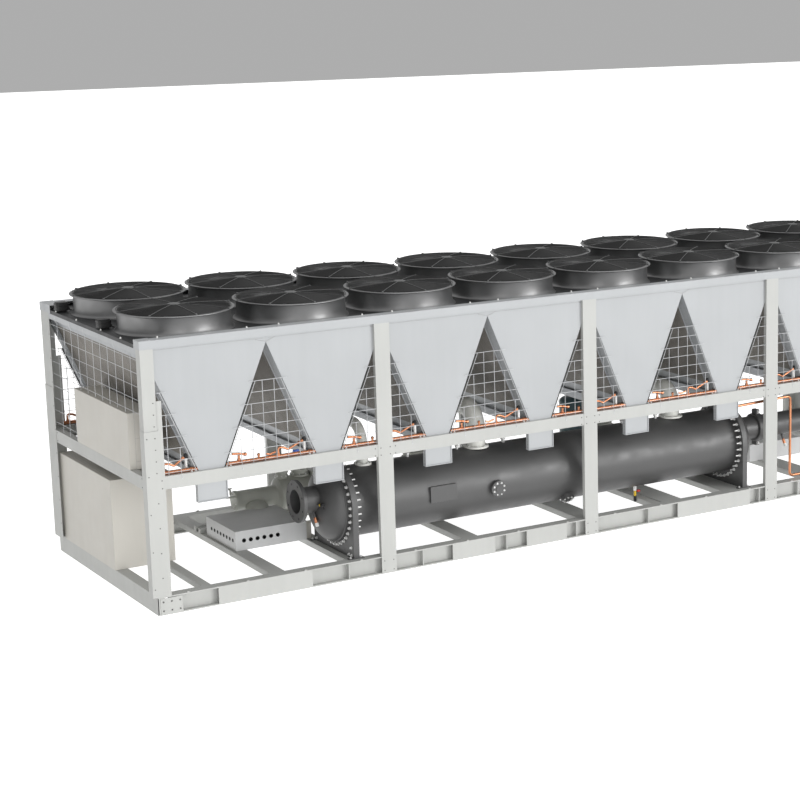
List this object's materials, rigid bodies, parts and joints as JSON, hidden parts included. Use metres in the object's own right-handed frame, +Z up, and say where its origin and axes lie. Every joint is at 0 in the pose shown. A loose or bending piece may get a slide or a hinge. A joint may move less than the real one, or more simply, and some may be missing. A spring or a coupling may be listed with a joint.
{
  "type": "air-cooled water chiller",
  "caption": "Long air-cooled water chiller: open steel frame, V-shaped coil blocks under rows of round fans, dark evaporator cylinder, compressors and control boxes below.",
  "frame": {"origin": "centre of the base at floor level", "axes": "+X along the unit to the right seen from the front, +Y to the rear, +Z up"},
  "size_m": [8.076, 2.266, 2.34],
  "materials": {
    "frame_paint": "light grey powder coat",
    "panel_paint": "cool light grey coated sheet",
    "zinc_sheet": "zinc-coated sheet",
    "deck_paint": "dark coated sheet",
    "coil_fins": "dark fins",
    "copper": "bare copper",
    "fan_black": "satin black",
    "rotor_grey": "satin dark grey",
    "vessel_dark": "dark grey coating",
    "pipe_grey": "light grey paint",
    "compressor_olive": "grey-green paint",
    "separator_teal": "dark green-blue paint",
    "box_grey": "mid grey coating",
    "box_cream": "cream powder coat"
  },
  "bodies": {
    "root": {"base_beam_front": "frame_paint", "base_beam_rear": "frame_paint", "base_beams_end": "frame_paint", "base_corner_plates": "frame_paint", "base_cross_members": "frame_paint", "posts_front": "frame_paint", "posts_rear": "frame_paint", "corner_posts_lower": "frame_paint", "corner_posts_upper": "frame_paint", "mid_rail_front": "frame_paint", "mid_rail_rear": "frame_paint", "mid_rails_end": "frame_paint", "mid_cross_beams": "zinc_sheet", "coil_trays": "zinc_sheet", "top_rail_front": "frame_paint", "top_rail_rear": "frame_paint", "top_rails_end": "frame_paint", "corner_caps": "frame_paint", "fan_decks": "deck_paint", "vee_panels_front": "panel_paint", "vee_panels_rear": "panel_paint", "foot_boxes_front": "panel_paint", "foot_boxes_rear": "panel_paint", "coil_cores_left": "coil_fins", "coil_cores_right": "coil_fins", "coil_casings_left": "zinc_sheet", "coil_casings_right": "zinc_sheet", "coil_dividers": "zinc_sheet", "copper_headers": "copper", "fan_shrouds": "fan_black", "fan_guards": "fan_black", "fan_rotors": "rotor_grey", "evaporator_shell": "vessel_dark", "evaporator_end_plates": "vessel_dark", "evaporator_heads": "vessel_dark", "water_nozzles": "vessel_dark", "outlet_pipe": "vessel_dark", "outlet_pipe_support": "frame_paint", "suction_pipes": "pipe_grey", "compressors": "compressor_olive", "compressor_rails": "frame_paint", "oil_separator": "separator_teal", "cable_boxes": "box_grey", "control_box_lower": "box_cream", "control_box_upper": "box_cream", "junction_boxes": "fan_black"}
  },
  "joints": []
}
